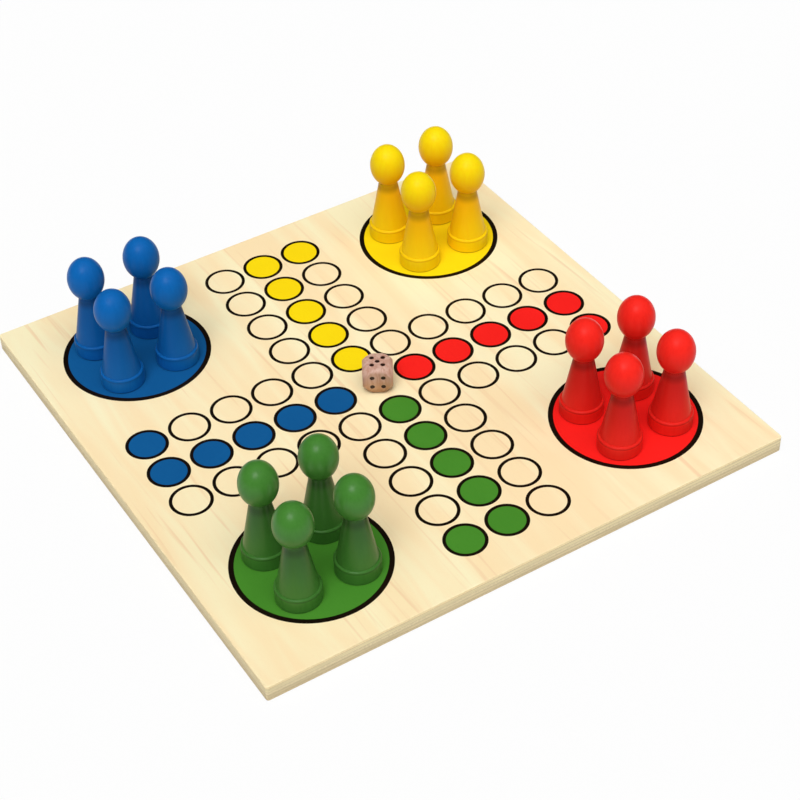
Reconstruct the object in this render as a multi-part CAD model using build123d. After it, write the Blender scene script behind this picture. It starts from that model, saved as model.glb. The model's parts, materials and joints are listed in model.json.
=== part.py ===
from build123d import *
from math import atan2, cos, degrees, hypot, pi, radians, sin, sqrt
import os

# A two-sided board game on one plywood panel: ludo on the upper face, snakes and ladders on the
# underside, sixteen turned wooden pawns standing in the four home circles, and a wooden die.
# Millimetres. Z is up, and the origin is the middle of the underside. The green home circle is at
# -X -Y, the red one at +X -Y, the yellow one at +X +Y and the blue one at -X +Y.

# Panel
board_side = 300.0
board_corner_radius = 1.5
face_veneer = 1.7
crossband = 2.1
core = 1.9
edge_round = 0.5

# Printing on both faces
ink_depth = 0.2
print_margin = 16.75

# Ludo track: round spots in a cross
arm_reach = 5
spot_gap = 2.0
spot_line = 1.8
home_line = 2.65
home_gap = 18.0

# Snakes and ladders
squares_per_side = 10
grid_line = 0.9
grid_frame = 2.0
ladder_width = 13.0
ladder_bar = 1.9
ladder_rung_pitch = 8.0
ladder_overrun = 4.0
snake_width = 8.0
snake_tail_width = 1.6
snake_sway = 7.5
snake_wave_length = 52.0
snake_wave_points = 8
snake_taper = 0.5
snake_head_length = 15.0
snake_head_width = 11.0
snake_neck_overlap = 2.5
snake_eye_radius = 1.1
snake_eye_spread = 2.9

# Pawn
pawn_height = 59.3
plinth_radius = 11.5
plinth_side = 7.3
plinth_round = 1.2
plinth_foot_round = 0.6
neck_radius = 5.1
head_width = 19.6
head_height = 24.6
pawn_gap = 9.4

# Die
die_side = 16.0
die_round = 2.6
die_ball = 21.1
die_turn = -31.0
die_place = (0.8, -1.3)
pip_radius = 1.3
pip_depth = 0.55
pip_paint = 0.15
pip_step = 2.9

# Sizes that follow
board_thickness = 2 * face_veneer + 2 * crossband + core
print_half = board_side / 2 - print_margin
spot_pitch = (print_half + spot_gap / 2) / (arm_reach + 0.5)
spot_radius = (spot_pitch - spot_gap) / 2
track_half_width = spot_pitch + spot_radius
home_radius = (print_half - track_half_width - home_gap) / 2
home_offset = print_half - home_radius
pawn_offset = plinth_radius + pawn_gap / 2
square = 2 * print_half / squares_per_side

# A quarter turn takes each arm of the cross and its home circle to the next.
arms = {"red": 0, "yellow": 90, "blue": 180, "green": 270}
home_signs = {"red": (1, -1), "yellow": (1, 1), "blue": (-1, 1), "green": (-1, -1)}
pawn_signs = {"front": (-1, -1), "right": (1, -1), "left": (-1, 1), "back": (1, 1)}


def turned(x, y, angle):
    """A place on the face, turned about the middle by a number of quarter turns."""
    a = radians(angle)
    return (x * cos(a) - y * sin(a), x * sin(a) + y * cos(a))


def sketch_of(faces):
    """One sketch made of all the given faces."""
    return Sketch() + faces


def panel_outline():
    return RectangleRounded(board_side, board_side, board_corner_radius)


def ply(bottom, thickness):
    """One sheet of the plywood, with its lower face at the given height."""
    return Pos(0, 0, bottom) * extrude(panel_outline(), thickness)


def face_sheet(bottom, outer_face):
    """A face veneer, with the panel's edge rounded along its outer face."""
    sheet = ply(bottom, face_veneer)
    rim = sheet.edges().group_by(Axis.Z)[outer_face]
    return fillet(rim, edge_round)


def top_ink(shape):
    """Ink that has soaked into the upper face, flush with it."""
    return Pos(0, 0, board_thickness - ink_depth) * extrude(shape, ink_depth)


def underside_ink(shape):
    """Ink that has soaked into the underside, flush with it."""
    return extrude(shape, ink_depth)


def plain_spots():
    """Places of the spots with bare wood inside, in steps of the track's pitch."""
    spots = []
    for angle in arms.values():
        spots.append(turned(1, 1, angle))
        for step in range(2, arm_reach + 1):
            spots.append(turned(step, 1, angle))
            if step < arm_reach:
                spots.append(turned(step, -1, angle))
    return spots


def coloured_spots(angle):
    """Places of one colour's spots: the middle lane of its arm, and its start beside the arm's end."""
    lane = [turned(step, 0, angle) for step in range(1, arm_reach + 1)]
    return lane + [turned(arm_reach, -1, angle)]


def spot_places(spots):
    return [Pos(x * spot_pitch, y * spot_pitch) for x, y in spots]


def home_place(colour):
    sign_x, sign_y = home_signs[colour]
    return Pos(sign_x * home_offset, sign_y * home_offset)


def ludo_lines():
    """The black ring round every spot and every home circle."""
    spots = plain_spots()
    for angle in arms.values():
        spots = spots + coloured_spots(angle)
    ring = Circle(spot_radius) - Circle(spot_radius - spot_line)
    home_ring = Circle(home_radius) - Circle(home_radius - home_line)
    rings = [place * ring for place in spot_places(spots)]
    rings += [home_place(colour) * home_ring for colour in arms]
    return sketch_of(rings)


def ludo_colour(colour):
    """One colour's spots and its home circle, inside their rings."""
    spot = Circle(spot_radius - spot_line)
    home = Circle(home_radius - home_line)
    discs = [place * spot for place in spot_places(coloured_spots(arms[colour]))]
    discs.append(home_place(colour) * home)
    return sketch_of(discs)


def square_place(column, row):
    """The middle of a square, counted from the underside's first square as the underside is read.

    The underside is read from below, so its columns run towards -X."""
    middle = (squares_per_side - 1) / 2
    return (-(column - middle) * square, (row - middle) * square)


def square_grid():
    """The lines between the squares, and the frame round them."""
    frame = Rectangle(2 * print_half + grid_frame, 2 * print_half + grid_frame)
    opening = Rectangle(square - grid_line, square - grid_line)
    openings = []
    for column in range(squares_per_side):
        for row in range(squares_per_side):
            openings.append(Pos(*square_place(column, row)) * opening)
    return frame - openings


def along(start, end):
    """The place and turn of a strip that runs from one square to another, and its length."""
    x0, y0 = square_place(*start)
    x1, y1 = square_place(*end)
    middle = Pos((x0 + x1) / 2, (y0 + y1) / 2)
    turn = Rotation(0, 0, degrees(atan2(y1 - y0, x1 - x0)))
    return middle * turn, hypot(x1 - x0, y1 - y0)


def ladder(start, end):
    """A ladder between two squares: two rails, with rungs at an even pitch."""
    place, distance = along(start, end)
    length = distance + 2 * ladder_overrun
    rail = Rectangle(length, ladder_bar)
    rung = Rectangle(ladder_bar, ladder_width)
    rung_count = int(length / ladder_rung_pitch)
    rail_offset = (ladder_width - ladder_bar) / 2
    bars = [Pos(0, rail_offset) * rail, Pos(0, -rail_offset) * rail]
    for i in range(rung_count):
        bars.append(Pos((i - (rung_count - 1) / 2) * ladder_rung_pitch, 0) * rung)
    return place * sketch_of(bars)


def snake(head, tail):
    """A snake between two squares: a swaying body that narrows to its tail, and a head with eyes.

    The taper is the share of the body, from the tail, over which it widens to its full width."""
    place, distance = along(tail, head)
    waves = max(1, round(distance / snake_wave_length))
    steps = snake_wave_points * waves
    left = []
    right = []
    for i in range(steps + 1):
        share = i / steps
        x = (share - 0.5) * distance
        phase = 2 * pi * waves * share
        y = snake_sway * sin(phase)
        slope = snake_sway * 2 * pi * waves / distance * cos(phase)
        fullness = min(1, share / snake_taper)
        half = (snake_tail_width + (snake_width - snake_tail_width) * fullness) / 2
        lean = half / sqrt(1 + slope * slope)
        left.append((x - slope * lean, y + lean))
        right.append((x + slope * lean, y - lean))
    flank_a = Spline(*left)
    flank_b = Spline(*right)
    tail_end = Line(left[0], right[0])
    neck_end = Line(left[-1], right[-1])
    body = make_face(Curve() + [flank_a, flank_b, tail_end, neck_end])
    neck_slope = degrees(atan2(snake_sway * 2 * pi * waves, distance))
    skull = Ellipse(snake_head_length / 2, snake_head_width / 2)
    eye = Circle(snake_eye_radius)
    face = skull - [Pos(0, snake_eye_spread) * eye, Pos(0, -snake_eye_spread) * eye]
    skull_shift = snake_head_length / 2 - snake_neck_overlap
    reach = Pos(distance / 2, 0) * Rotation(0, 0, neck_slope) * Pos(skull_shift, 0)
    return place * ((body - reach * skull) + reach * face)


# Own layout: each ladder or snake joins two squares, given as column and row.
ladder_squares = [
    ((2, 0), (3, 3)),
    ((8, 0), (9, 2)),
    ((5, 3), (6, 6)),
    ((0, 4), (1, 7)),
    ((8, 5), (7, 8)),
]
snake_squares = {
    "red": [((2, 8), (3, 5))],
    "blue": [((9, 8), (9, 4)), ((2, 4), (1, 1))],
    "green": [((5, 8), (4, 4))],
    "yellow": [((7, 4), (6, 0))],
}


def ladders():
    return sketch_of([ladder(start, end) for start, end in ladder_squares])


def snakes(colour):
    return sketch_of([snake(head, tail) for head, tail in snake_squares[colour]])


def pawn():
    """A pawn turned in one piece: a plinth with a rounded shoulder, a tapering body and an oval head."""
    head_middle = pawn_height - head_height / 2
    neck_share = neck_radius / (head_width / 2)
    neck_height = head_middle - head_height / 2 * sqrt(1 - neck_share ** 2)
    neck_angle = degrees(atan2(-sqrt(1 - neck_share ** 2), neck_share))
    shoulder_radius = plinth_radius - plinth_round
    shoulder_height = plinth_side + plinth_round
    foot_round = RadiusArc((plinth_radius - plinth_foot_round, 0), (plinth_radius, plinth_foot_round),
                           -plinth_foot_round)
    shoulder = RadiusArc((plinth_radius, plinth_side), (shoulder_radius, shoulder_height), -plinth_round)
    head = EllipticalCenterArc((0, head_middle), head_width / 2, head_height / 2,
                               start_angle=neck_angle, arc_size=90 - neck_angle)
    outline = Curve() + [
        Line((0, 0), (plinth_radius - plinth_foot_round, 0)),
        foot_round,
        Line((plinth_radius, plinth_foot_round), (plinth_radius, plinth_side)),
        shoulder,
        Line((shoulder_radius, shoulder_height), (neck_radius, neck_height)),
        head,
        Line((0, pawn_height), (0, 0)),
    ]
    return revolve(Plane.XZ * make_face(outline), Axis.Z)


def pip_layout(count):
    """Places of the pips on one face of the die, in steps of the pips' spacing."""
    corner_pair = [(-1, 1), (1, -1)]
    other_pair = [(1, 1), (-1, -1)]
    side_pair = [(-1, 0), (1, 0)]
    layouts = {
        1: [(0, 0)],
        2: corner_pair,
        3: corner_pair + [(0, 0)],
        4: corner_pair + other_pair,
        5: corner_pair + other_pair + [(0, 0)],
        6: corner_pair + other_pair + side_pair,
    }
    return layouts[count]


def die_faces():
    """Each face's frame, its Z axis pointing out of the die, with its number of pips."""
    half = die_side / 2
    frames = {
        5: Plane(origin=(0, 0, half), x_dir=(1, 0, 0), z_dir=(0, 0, 1)),
        2: Plane(origin=(0, 0, -half), x_dir=(1, 0, 0), z_dir=(0, 0, -1)),
        4: Plane(origin=(0, -half, 0), x_dir=(1, 0, 0), z_dir=(0, -1, 0)),
        3: Plane(origin=(0, half, 0), x_dir=(-1, 0, 0), z_dir=(0, 1, 0)),
        1: Plane(origin=(half, 0, 0), x_dir=(0, 1, 0), z_dir=(1, 0, 0)),
        6: Plane(origin=(-half, 0, 0), x_dir=(0, -1, 0), z_dir=(-1, 0, 0)),
    }
    return frames


def pip_drums(depth, thickness):
    """A short drum at every pip, with its outer end at the given depth under the face."""
    drums = []
    for count, frame in die_faces().items():
        for x, y in pip_layout(count):
            spot = Pos(x * pip_step, y * pip_step) * Circle(pip_radius)
            drums.append(extrude(frame.offset(-depth - thickness) * spot, thickness))
    return drums


def on_the_board():
    """Where the die lies: on the panel, turned about the vertical."""
    x, y = die_place
    return Pos(x, y, board_thickness + die_side / 2) * Rotation(0, 0, die_turn)


def die_block():
    """A cube with rounded edges, its corners taken down to a ball, and a drilled hollow at each pip."""
    cube = Box(die_side, die_side, die_side)
    blank = fillet(cube.edges(), die_round) & Sphere(die_ball / 2)
    return on_the_board() * (blank - pip_drums(0, pip_depth))


def die_pips():
    """The dark paint in the bottom of each pip's hollow."""
    return on_the_board() * Compound(children=pip_drums(pip_depth - pip_paint, pip_paint))


def save(shape, name):
    export_step(shape, f"parts/{name}.step")


def build_plies(top_print, underside_print):
    """The panel's five sheets, the two outer ones less the wood that holds the ink."""
    core_bottom = face_veneer + crossband
    upper_bottom = core_bottom + core
    top_bottom = upper_bottom + crossband
    save(face_sheet(0, 0) - underside_ink(underside_print), "bottom_veneer")
    save(ply(face_veneer, crossband), "lower_crossband")
    save(ply(core_bottom, core), "core_ply")
    save(ply(upper_bottom, crossband), "upper_crossband")
    save(face_sheet(top_bottom, -1) - top_ink(top_print), "top_veneer")


def build_board():
    lines = ludo_lines()
    colours = {colour: ludo_colour(colour) for colour in arms}
    grid = square_grid()
    ladder_bars = ladders()
    snake_skins = {colour: snakes(colour) for colour in snake_squares}
    over_the_grid = [ladder_bars, *snake_skins.values()]
    build_plies(lines + list(colours.values()), grid + over_the_grid)

    save(top_ink(lines), "ludo_lines")
    for colour, shape in colours.items():
        save(top_ink(shape), f"{colour}_ludo_ink")
    save(underside_ink(grid - over_the_grid), "square_lines")
    save(underside_ink(ladder_bars), "ladders")
    for colour, shape in snake_skins.items():
        save(underside_ink(shape), f"{colour}_snake_ink")


def build_pawns():
    shape = pawn()
    for colour, (home_x, home_y) in home_signs.items():
        for side, (side_x, side_y) in pawn_signs.items():
            x = home_x * home_offset + side_x * pawn_offset
            y = home_y * home_offset + side_y * pawn_offset
            save(Pos(x, y, board_thickness) * shape, f"{colour}_pawn_{side}")


def build_die():
    save(die_block(), "die_block")
    save(die_pips(), "die_pips")


os.makedirs("parts", exist_ok=True)
build_board()
build_pawns()
build_die()
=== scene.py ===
import json
from math import cos, pi, radians, sin

import bmesh
import bpy
from mathutils import Matrix, Quaternion, Vector


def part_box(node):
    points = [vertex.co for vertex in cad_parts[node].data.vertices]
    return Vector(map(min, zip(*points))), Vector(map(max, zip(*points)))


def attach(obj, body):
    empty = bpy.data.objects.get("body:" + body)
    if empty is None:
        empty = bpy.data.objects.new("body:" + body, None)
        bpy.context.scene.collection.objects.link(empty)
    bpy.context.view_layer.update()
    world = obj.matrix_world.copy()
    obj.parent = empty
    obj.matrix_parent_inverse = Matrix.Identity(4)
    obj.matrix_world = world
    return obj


# The looks of a plywood board game: ludo on top, snakes and ladders beneath, pawns and a die.
# Metres. The panel lies on z = 0, and its face veneers have their grain along Y.
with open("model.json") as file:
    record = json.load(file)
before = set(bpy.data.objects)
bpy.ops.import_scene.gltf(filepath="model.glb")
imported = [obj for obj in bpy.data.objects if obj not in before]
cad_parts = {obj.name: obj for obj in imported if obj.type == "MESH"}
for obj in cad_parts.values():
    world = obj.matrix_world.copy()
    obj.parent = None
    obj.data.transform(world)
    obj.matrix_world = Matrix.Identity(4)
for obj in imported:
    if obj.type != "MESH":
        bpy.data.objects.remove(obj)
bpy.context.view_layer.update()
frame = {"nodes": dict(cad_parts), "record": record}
nodes = frame["nodes"]
mm = 0.001

# Camera, at the photograph's angle. Its lens is in millimetres, for a film of the given width.
film_width = 36
camera_lens = 86.38
camera_azimuth = -30.92
camera_elevation = 41.27
camera_roll = -1.92
camera_distance = 1001.3 * mm
camera_aim = Vector((3.7 * mm, -18.3 * mm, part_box("top_veneer")[1].z))

# Light. A share is how bright a white surface that faces up looks under that light alone. Each lamp
# has the azimuth and elevation of its direction, its width in degrees, its share, and whether it shows
# in the lacquer's gloss.
sky_share = 0.04
lamps = {
    "ceiling": (-42, 76, 64, 0.49, False),
    "front": (-34, 57, 60, 0.06, False),
    "fill": (38, 45, 60, 0.1, False),
    "window": (-51, 57, 30, 0.31, True),
}

# Heights over the board where a pawn's painted shade and painted shadow change, and how far their
# bands reach up the foot and to both sides of the ledge and the neck
foot_band = 0.9 * mm
plinth_side = 5.4 * mm
ledge_height = 7.4 * mm
ledge_band = 0.9 * mm
body_top = 34 * mm
neck_groove = 4.5 * mm
head_foot = 38 * mm
head_crown = 57 * mm

# How deep the painted shade is on the ledge and just over it, from 0 to 1, and how nearly black the
# painted shadow makes the groove under the head, the ledge and the foot
ledge_shade = 0.8
body_foot_shade = 0.45
groove_shadow = 0.36
ledge_shadow = 0.13
foot_shadow = 0.85

# How far a glue line's dark band reaches into each of its two plies
glue_line = 0.16 * mm

# The floor, and how much of its white the camera sees without any shadow
floor_half = 3000 * mm
floor_drop = 0.1 * mm
floor_glow = 0.9

# Numbers on the underside: their size, how far their ink stands out, how far they are from the edges of
# their square, and how far the grid's outer line reaches beyond the squares
number_size = 6.4 * mm
number_film = 0.012 * mm
number_inset = 1.5 * mm
grid_overhang = 1.0 * mm
squares_per_side = 10


def colour(red, green, blue):
    """A colour as the shaders take it, from the eight-bit values that a screen shows."""
    def linear(value):
        share = value / 255
        return share / 12.92 if share < 0.04045 else ((share + 0.055) / 1.055) ** 2.4
    return (linear(red), linear(green), linear(blue), 1.0)


def add(tree, kind, settings=None, **inputs):
    """Adds a node, sets its options, and fills its inputs by name, each with a value or a link."""
    made = tree.nodes.new("ShaderNode" + kind)
    for option, value in (settings or {}).items():
        setattr(made, option, value)
    for words, value in inputs.items():
        fill(tree, made.inputs[words.replace("_", " ")], value)
    return made


def fill(tree, socket, value):
    if isinstance(value, bpy.types.NodeSocket):
        tree.links.new(value, socket)
    else:
        socket.default_value = value


def mix(tree, share, first, second):
    """A colour between two others, at the given share of the second."""
    made = add(tree, "Mix", {"data_type": "RGBA"})
    # The sockets of this node that are used for colours
    for index, value in ((0, share), (6, first), (7, second)):
        fill(tree, made.inputs[index], value)
    return made.outputs[2]


def calc(tree, operation, first, second=0.0):
    made = add(tree, "Math", {"operation": operation})
    fill(tree, made.inputs[0], first)
    fill(tree, made.inputs[1], second)
    return made.outputs[0]


def rise(tree, value, low, high, start=0.0, end=1.0):
    """Goes smoothly from start to end as the value goes from low to high."""
    made = add(tree, "MapRange", {"interpolation_type": "SMOOTHSTEP"}, Value=value,
               From_Min=low, From_Max=high, To_Min=start, To_Max=end)
    return made.outputs["Result"]


def spread(tree, pattern, start, end):
    """A value between two others that follows a noise pattern, which mostly lies from 0.3 to 0.7."""
    return rise(tree, pattern, 0.3, 0.7, start, end)


def distance(tree, first, second):
    return calc(tree, "ABSOLUTE", calc(tree, "SUBTRACT", first, second))


def blend(tree, share, first, second):
    """A value between two others, at the given share of the second."""
    return calc(tree, "ADD", calc(tree, "MULTIPLY", first, 1 - share),
                calc(tree, "MULTIPLY", second, share))


def own_place(tree):
    return add(tree, "TexCoord").outputs["Object"]


def own_height(tree):
    return add(tree, "SeparateXYZ", Vector=own_place(tree)).outputs["Z"]


def noise(tree, size, shift=0.0, **inputs):
    """Smooth noise whose lumps have the given size along X, Y and Z. A shift gives another pattern."""
    place = add(tree, "Mapping", Vector=own_place(tree), Location=(shift, shift, shift),
                Scale=tuple(1 / s for s in size))
    made = add(tree, "TexNoise", Vector=place.outputs["Vector"], Scale=1.0, **inputs)
    return made.outputs["Fac"]


def along_grain(grain, across, along):
    """The size of a lump that is drawn out along the grain's axis."""
    return tuple(along if axis == grain else across for axis in "XYZ")


def new_material(name):
    material = bpy.data.materials.new(name)
    material.use_nodes = True
    tree = material.node_tree
    return material, tree, tree.nodes["Principled BSDF"]


def finish_surface(tree, shader, base, roughness, height, depth, specular=0.5):
    """Gives the shader its colour, roughness, gloss and relief. The relief's depth is in metres."""
    fill(tree, shader.inputs["Base Color"], base)
    fill(tree, shader.inputs["Roughness"], roughness)
    shader.inputs["Specular IOR Level"].default_value = specular
    relief = add(tree, "Bump", Height=height, Distance=depth, Strength=1.0)
    fill(tree, shader.inputs["Normal"], relief.outputs["Normal"])


def fibres(tree, grain):
    """The finest streaks of the wood, along its grain."""
    return noise(tree, along_grain(grain, 0.35 * mm, 9 * mm), Detail=3.0, Roughness=0.6)


def face_figure(tree):
    """The pale face of the veneer: broad soft bands, and a few narrow darker streaks."""
    cream = colour(254, 243, 200)
    peach = colour(254, 229, 182)
    fleck = colour(243, 204, 158)
    bands = noise(tree, along_grain("Y", 15 * mm, 120 * mm), Detail=2.5, Roughness=0.45,
                  Distortion=0.9)
    patches = noise(tree, along_grain("Y", 42 * mm, 150 * mm), shift=7.0, Detail=1.0)
    warmth = blend(tree, 0.38, bands, patches)
    ground = mix(tree, rise(tree, warmth, 0.34, 0.63), cream, peach)
    streaks = noise(tree, along_grain("Y", 3.4 * mm, 90 * mm), shift=31.0, Detail=1.5, Distortion=0.7)
    ground = mix(tree, rise(tree, streaks, 0.58, 0.78, 0.0, 0.6), ground, fleck)
    pores = noise(tree, along_grain("Y", 0.3 * mm, 3.0 * mm), shift=57.0, Detail=1.0)
    return mix(tree, rise(tree, pores, 0.6, 0.8, 0.0, 0.16), ground, fleck)


def edge_figure(tree, grain, pale, dark, low, high):
    """The sawn edge of a ply: soft bands, brown specks, and a dark glue line along its inner faces."""
    brown_speck = colour(176, 152, 112)
    glue_brown = colour(140, 118, 84)
    bands = noise(tree, along_grain(grain, 1.1 * mm, 30 * mm), shift=13.0, Detail=4.0, Roughness=0.6)
    wood = mix(tree, rise(tree, bands, 0.35, 0.65), pale, dark)
    specks = noise(tree, along_grain(grain, 0.3 * mm, 2.2 * mm), shift=23.0, Detail=2.0)
    wood = mix(tree, rise(tree, specks, 0.6, 0.75, 0.0, 0.4), wood, brown_speck)
    height = own_height(tree)
    board_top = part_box("top_veneer")[1].z
    for edge in (low, high):
        if 0 < edge < board_top:
            glue = rise(tree, distance(tree, height, edge), 0.0, glue_line, 0.6, 0.0)
            wood = mix(tree, glue, wood, glue_brown)
    return wood


def ply_material(name, node, grain, pale, dark):
    """One sheet of the panel: its edge everywhere, and the veneer's face where it looks up or down."""
    material, tree, shader = new_material(name)
    low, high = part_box(node)
    wood = edge_figure(tree, grain, pale, dark, low.z, high.z)
    if node in ("top_veneer", "bottom_veneer"):
        normal = add(tree, "TexCoord").outputs["Normal"]
        upright = calc(tree, "ABSOLUTE", add(tree, "SeparateXYZ", Vector=normal).outputs["Z"])
        wood = mix(tree, rise(tree, upright, 0.35, 0.85), wood, face_figure(tree))
    roughness = spread(tree, fibres(tree, grain), 0.5, 0.62)
    finish_surface(tree, shader, wood, roughness, fibres(tree, grain), depth=0.03 * mm, specular=0.15)
    return material


def ink_material(name, ink, worn):
    """Screen-printed ink: a little uneven, and thinner over the veneer's pores."""
    material, tree, shader = new_material(name)
    cloud = noise(tree, (30 * mm, 30 * mm, 30 * mm), shift=3.0, Detail=2.0)
    tone = mix(tree, spread(tree, cloud, 0.0, 0.5), ink, worn)
    pores = noise(tree, along_grain("Y", 0.3 * mm, 3.5 * mm), shift=57.0, Detail=2.0)
    tone = mix(tree, rise(tree, pores, 0.52, 0.78, 0.0, 0.8), tone, worn)
    roughness = spread(tree, fibres(tree, "Y"), 0.45, 0.58)
    finish_surface(tree, shader, tone, roughness, fibres(tree, "Y"), depth=0.02 * mm, specular=0.1)
    return material


def stain_depth(tree, height, plinth_shade, head_shade):
    """How much painted shade a pawn's colour takes: most on the body just under the head, where the head
    shades it, and less downwards.

    The plinth's side and the head's foot have the given shares, and a band round the ledge has more. Up
    to the crown the painted shade fades out."""
    plinth = rise(tree, height, plinth_side, ledge_height, plinth_shade, 0.0)
    ledge = rise(tree, distance(tree, height, ledge_height), 0.0, ledge_band, ledge_shade, 0.0)
    body = calc(tree, "MULTIPLY", rise(tree, height, plinth_side, ledge_height),
                rise(tree, height, ledge_height, body_top, body_foot_shade, 1.0))
    body = calc(tree, "MULTIPLY", body, rise(tree, height, body_top, head_foot, 1.0, 0.0))
    head = calc(tree, "MULTIPLY", rise(tree, height, body_top, head_foot),
                rise(tree, height, head_foot, head_crown, head_shade, 0.0))
    lower = calc(tree, "MAXIMUM", plinth, ledge)
    upper = calc(tree, "MAXIMUM", body, head)
    return calc(tree, "MAXIMUM", lower, upper)


def soaked_share(tree, height):
    """Painted shadow: how nearly black a pawn is in the groove under its head, on its ledge and at its
    foot.
    """
    groove = rise(tree, distance(tree, height, body_top), 0.0, neck_groove, groove_shadow, 0.0)
    ledge = rise(tree, distance(tree, height, ledge_height), 0.0, ledge_band, ledge_shadow, 0.0)
    foot = rise(tree, height, 0.0, foot_band, foot_shadow, 0.0)
    return calc(tree, "MAXIMUM", groove, calc(tree, "MAXIMUM", ledge, foot))


def lacquer_material(name, paint, shade, shaded_paint, plinth_shade, head_shade, specular):
    """Lacquer on stained, turned wood: long pores show through it, and fine rings go round it. Painted
    shade darkens it under the head, low on the head, on the plinth and round the ledge, and painted
    shadow blackens the groove, the ledge and the foot.
    """
    shadow_black = colour(20, 14, 8)
    material, tree, shader = new_material(name)
    grain = noise(tree, along_grain("Z", 1.3 * mm, 22 * mm), shift=5.0, Detail=4.0, Roughness=0.6)
    tone = mix(tree, rise(tree, grain, 0.35, 0.7, 0.0, 0.45), paint, shade)
    height = calc(tree, "SUBTRACT", own_height(tree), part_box("top_veneer")[1].z)
    # Painted shade: the colour goes towards the darker copy under the head, low on the head, on the
    # plinth and round the ledge
    tone = mix(tree, stain_depth(tree, height, plinth_shade, head_shade), tone, shaded_paint)
    # Painted shadow: near black in the groove under the head, round the ledge and in a thin line at the
    # foot
    tone = mix(tree, soaked_share(tree, height), tone, shadow_black)
    rings = noise(tree, (1000 * mm, 1000 * mm, 0.42 * mm), shift=9.0, Detail=2.0)
    pores = noise(tree, along_grain("Z", 0.35 * mm, 5 * mm), shift=41.0, Detail=2.0)
    relief = blend(tree, 0.5, rings, pores)
    roughness = spread(tree, grain, 0.28, 0.33)
    finish_surface(tree, shader, tone, roughness, relief, depth=0.008 * mm, specular=specular)
    return material


def die_wood_material():
    """Reddish beech, waxed: short dark rays and soft streaks along the grain, an ochre tone that grows
    towards the bottom, and painted shade at the foot.
    """
    pale_pink = colour(216, 178, 160)
    dusky_pink = colour(198, 148, 128)
    ochre = colour(206, 150, 92)
    foot_shade_brown = colour(134, 88, 48)
    ray_brown = colour(150, 98, 66)
    low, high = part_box("die_block")
    die_height = high.z - low.z
    ochre_top = low.z + 0.8 * die_height
    foot_shade_top = low.z + 0.32 * die_height
    material, tree, shader = new_material("die_beech")
    streaks = noise(tree, along_grain("Z", 1.8 * mm, 16 * mm), shift=2.0, Detail=4.0, Roughness=0.6,
                    Distortion=0.6)
    wood = mix(tree, rise(tree, streaks, 0.35, 0.65), pale_pink, dusky_pink)
    height = own_height(tree)
    wood = mix(tree, rise(tree, height, low.z, ochre_top, 0.8, 0.0), wood, ochre)
    # Painted shade: a dark brown band at the die's foot
    wood = mix(tree, rise(tree, height, low.z, foot_shade_top, 0.8, 0.0), wood, foot_shade_brown)
    rays = noise(tree, along_grain("Z", 0.3 * mm, 1.8 * mm), shift=61.0, Detail=2.0)
    wood = mix(tree, rise(tree, rays, 0.58, 0.75, 0.0, 0.5), wood, ray_brown)
    finish_surface(tree, shader, wood, roughness=0.42, height=rays, depth=0.02 * mm)
    return material


def pip_material():
    material, tree, shader = new_material("pip_paint")
    cloud = noise(tree, (0.5 * mm, 0.5 * mm, 0.5 * mm), Detail=2.0)
    paint = mix(tree, cloud, colour(46, 22, 12), colour(30, 12, 6))
    finish_surface(tree, shader, paint, roughness=0.4, height=cloud, depth=0.02 * mm)
    return material


def slot_materials():
    """The materials that a slot's nodes share."""
    made = {
        "black_ink": ink_material("black_ink", colour(16, 9, 4), colour(30, 19, 11)),
        "yellow_ink": ink_material("yellow_ink", colour(253, 222, 18), colour(250, 214, 16)),
        "red_ink": ink_material("red_ink", colour(251, 36, 32), colour(243, 31, 28)),
        "blue_ink": ink_material("blue_ink", colour(18, 91, 150), colour(15, 84, 142)),
        "green_ink": ink_material("green_ink", colour(74, 141, 45), colour(67, 133, 40)),
        "die_wood": die_wood_material(),
        "pip_paint": pip_material(),
    }
    # Each pawn colour: its paint, a grain tone, a darker copy that stands for painted shade, the shares
    # of painted shade on the plinth's side and the head's foot, and its gloss
    stains = {
        "yellow": {
            "paint": colour(255, 226, 16), "shade": colour(254, 209, 12), "shaded_paint": colour(248, 188, 12),
            "plinth_shade": 0.3, "head_shade": 0.9, "specular": 0.08,
        },
        "red": {
            "paint": colour(251, 44, 34), "shade": colour(240, 36, 28), "shaded_paint": colour(198, 30, 25),
            "plinth_shade": 0.4, "head_shade": 0.5, "specular": 0.08,
        },
        "blue": {
            "paint": colour(17, 102, 179), "shade": colour(14, 94, 168), "shaded_paint": colour(12, 84, 152),
            "plinth_shade": 0.0, "head_shade": 0.0, "specular": 0.08,
        },
        "green": {
            "paint": colour(70, 131, 50), "shade": colour(62, 121, 44), "shaded_paint": colour(50, 95, 35),
            "plinth_shade": 0.35, "head_shade": 0.45, "specular": 0.24,
        },
    }
    for name, looks in stains.items():
        slot = f"{name}_stained_wood"
        made[slot] = lacquer_material(slot, **looks)
    return made


def ply_materials():
    """A material for each sheet, since each has its own place between the glue lines. Lower sheets are
    darker, as painted shade of the panel's edge.
    """
    # Each sheet's edge colours are a little darker than those of the sheet above: painted shade, darker
    # towards the panel's foot
    sheets = {
        "bottom_veneer": ("Y", colour(222, 204, 164), colour(206, 186, 146)),
        "lower_crossband": ("X", colour(228, 210, 168), colour(210, 192, 152)),
        "core_ply": ("Y", colour(238, 222, 180), colour(224, 206, 166)),
        "upper_crossband": ("X", colour(244, 228, 182), colour(228, 212, 168)),
        "top_veneer": ("Y", colour(253, 234, 186), colour(242, 220, 172)),
    }
    return {node: ply_material(f"{node}_wood", node, *looks) for node, looks in sheets.items()}


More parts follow.
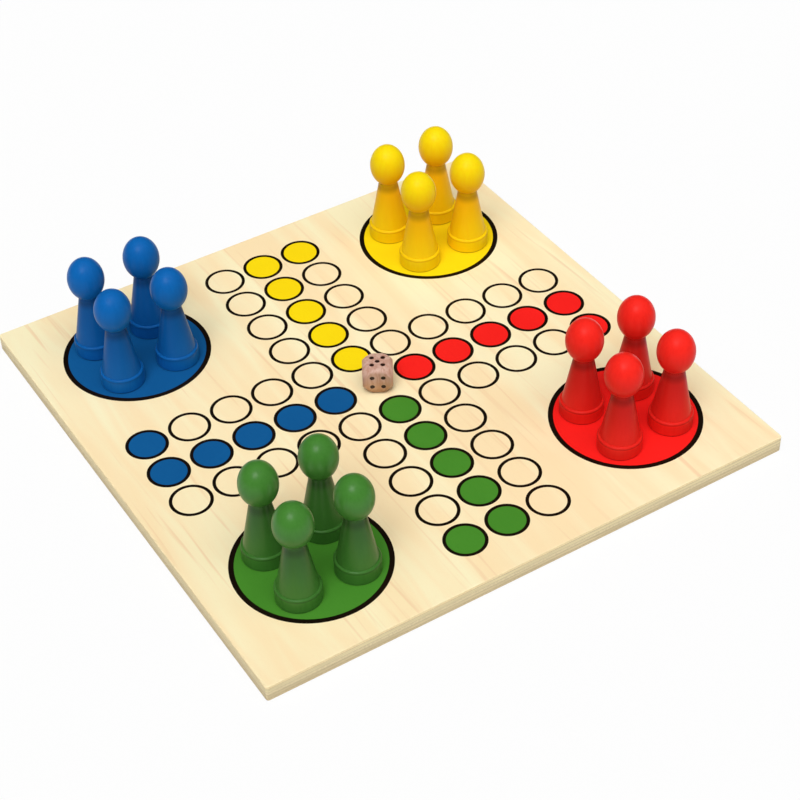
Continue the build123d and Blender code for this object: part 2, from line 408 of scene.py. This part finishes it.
def dress_nodes():
    """Gives each piece its sheet's or else its slot's material, and returns the slots' materials."""
    by_slot = slot_materials()
    by_node = ply_materials()
    for part in frame["record"]["subparts"]:
        node = part["node"]
        material = by_node.get(node) or by_slot[part["material_slot"]]
        mesh = nodes[node].data
        mesh.materials.clear()
        mesh.materials.append(material)
    return by_slot


def square_corner(number, grid_half, square):
    """The place of a numbered square's top left corner, as the underside is read.

    The numbers run to and fro from the first row up. Read from below, columns run towards -X."""
    row, step = divmod(number - 1, squares_per_side)
    column = step if row % 2 == 0 else squares_per_side - 1 - step
    return Vector((grid_half - column * square, (row + 1) * square - grid_half, 0))


def square_numbers(material):
    """The numbers 1 to 100, one thin film of ink in the corner of each square."""
    grid_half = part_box("square_lines")[1].x - grid_overhang
    square = 2 * grid_half / squares_per_side
    words = bpy.data.curves.new("number", "FONT")
    words.size = number_size
    words.extrude = number_film
    words.align_x = "LEFT"
    words.align_y = "TOP"
    writer = bpy.data.objects.new("number", words)
    bpy.context.scene.collection.objects.link(writer)
    film = bmesh.new()
    facing_down = Matrix.Rotation(pi, 4, "Y")
    inset = Vector((-number_inset, -number_inset, 0))
    for number in range(1, squares_per_side ** 2 + 1):
        words.body = str(number)
        bpy.context.view_layer.update()
        written = writer.evaluated_get(bpy.context.evaluated_depsgraph_get())
        shape = bpy.data.meshes.new_from_object(written)
        place = Matrix.Translation(square_corner(number, grid_half, square) + inset)
        shape.transform(place @ facing_down)
        film.from_mesh(shape)
        bpy.data.meshes.remove(shape)
    bpy.data.objects.remove(writer)
    bmesh.ops.remove_doubles(film, verts=film.verts, dist=0.001 * mm)
    bmesh.ops.recalc_face_normals(film, faces=film.faces)
    mesh = bpy.data.meshes.new("square_numbers")
    film.to_mesh(mesh)
    film.free()
    mesh.materials.append(material)
    numbers = bpy.data.objects.new("square_numbers", mesh)
    bpy.context.scene.collection.objects.link(numbers)
    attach(numbers, "board")


def away(azimuth, elevation):
    """The direction from the object towards a place round it: azimuth 0 is -Y, and -90 is -X."""
    a = radians(azimuth)
    e = radians(elevation)
    return Vector((sin(a) * cos(e), -cos(a) * cos(e), sin(e)))


def place_camera():
    camera = bpy.data.objects.new("camera", bpy.data.cameras.new("camera"))
    bpy.context.scene.collection.objects.link(camera)
    back = away(camera_azimuth, camera_elevation)
    camera.data.lens = camera_lens
    camera.data.sensor_width = film_width
    camera.location = camera_aim + back * camera_distance
    camera.rotation_mode = "QUATERNION"
    roll = Quaternion((0, 0, 1), radians(camera_roll))
    camera.rotation_quaternion = (-back).to_track_quat("-Z", "Y") @ roll
    bpy.context.scene.camera = camera


def soft_sun(name, azimuth, elevation, width, share, in_the_gloss):
    """A far round lamp, as wide as the given angle, that lights a white face to the given share."""
    data = bpy.data.lights.new(name, "SUN")
    data.angle = radians(width)
    data.energy = share * pi / sin(radians(elevation))
    lamp = bpy.data.objects.new(name, data)
    lamp.visible_glossy = in_the_gloss
    bpy.context.scene.collection.objects.link(lamp)
    lamp.rotation_mode = "QUATERNION"
    lamp.rotation_quaternion = (-away(azimuth, elevation)).to_track_quat("-Z", "Y")


def light_sky():
    """An even pale sky, which the camera sees as plain white."""
    world = bpy.data.worlds.new("studio")
    world.use_nodes = True
    tree = world.node_tree
    tree.nodes.clear()
    seen = add(tree, "LightPath").outputs["Is Camera Ray"]
    sky = add(tree, "Background", Color=(1, 1, 1, 1), Strength=sky_share)
    backdrop = add(tree, "Background", Color=(1, 1, 1, 1), Strength=1.0)
    both = add(tree, "MixShader", Fac=seen)
    tree.links.new(sky.outputs[0], both.inputs[1])
    tree.links.new(backdrop.outputs[0], both.inputs[2])
    tree.links.new(both.outputs[0], add(tree, "OutputWorld").inputs["Surface"])
    bpy.context.scene.world = world


def light_scene():
    light_sky()
    for name, looks in lamps.items():
        soft_sun(name, *looks)


def floor_material():
    """White paper that keeps a trace of the object's shadow, and looks white beyond it."""
    grey_white = (0.86, 0.86, 0.86, 1)
    bright_white = (0.9, 0.9, 0.9, 1)
    material, tree, shader = new_material("floor_paper")
    speckle = noise(tree, (3 * mm, 3 * mm, 3 * mm), Detail=2.0)
    paper = mix(tree, speckle, grey_white, bright_white)
    finish_surface(tree, shader, paper, roughness=0.9, height=speckle, depth=0.02 * mm, specular=0.0)
    white = add(tree, "Emission", Color=(1, 1, 1, 1), Strength=1.0)
    path = add(tree, "LightPath").outputs
    shown = calc(tree, "MULTIPLY", path["Is Camera Ray"], floor_glow)
    both = add(tree, "MixShader", Fac=shown)
    tree.links.new(shader.outputs[0], both.inputs[1])
    tree.links.new(white.outputs[0], both.inputs[2])
    tree.links.new(both.outputs[0], tree.nodes["Material Output"].inputs["Surface"])
    return material


def lay_floor():
    mesh = bpy.data.meshes.new("floor")
    signs = [(-1, -1), (1, -1), (1, 1), (-1, 1)]
    corners = [(x * floor_half, y * floor_half, -floor_drop) for x, y in signs]
    mesh.from_pydata(corners, [], [(0, 1, 2, 3)])
    mesh.materials.append(floor_material())
    floor = bpy.data.objects.new("floor", mesh)
    bpy.context.scene.collection.objects.link(floor)


bpy.context.scene.view_settings.view_transform = "Standard"
shared = dress_nodes()
square_numbers(shared["black_ink"])
place_camera()
light_scene()
lay_floor()
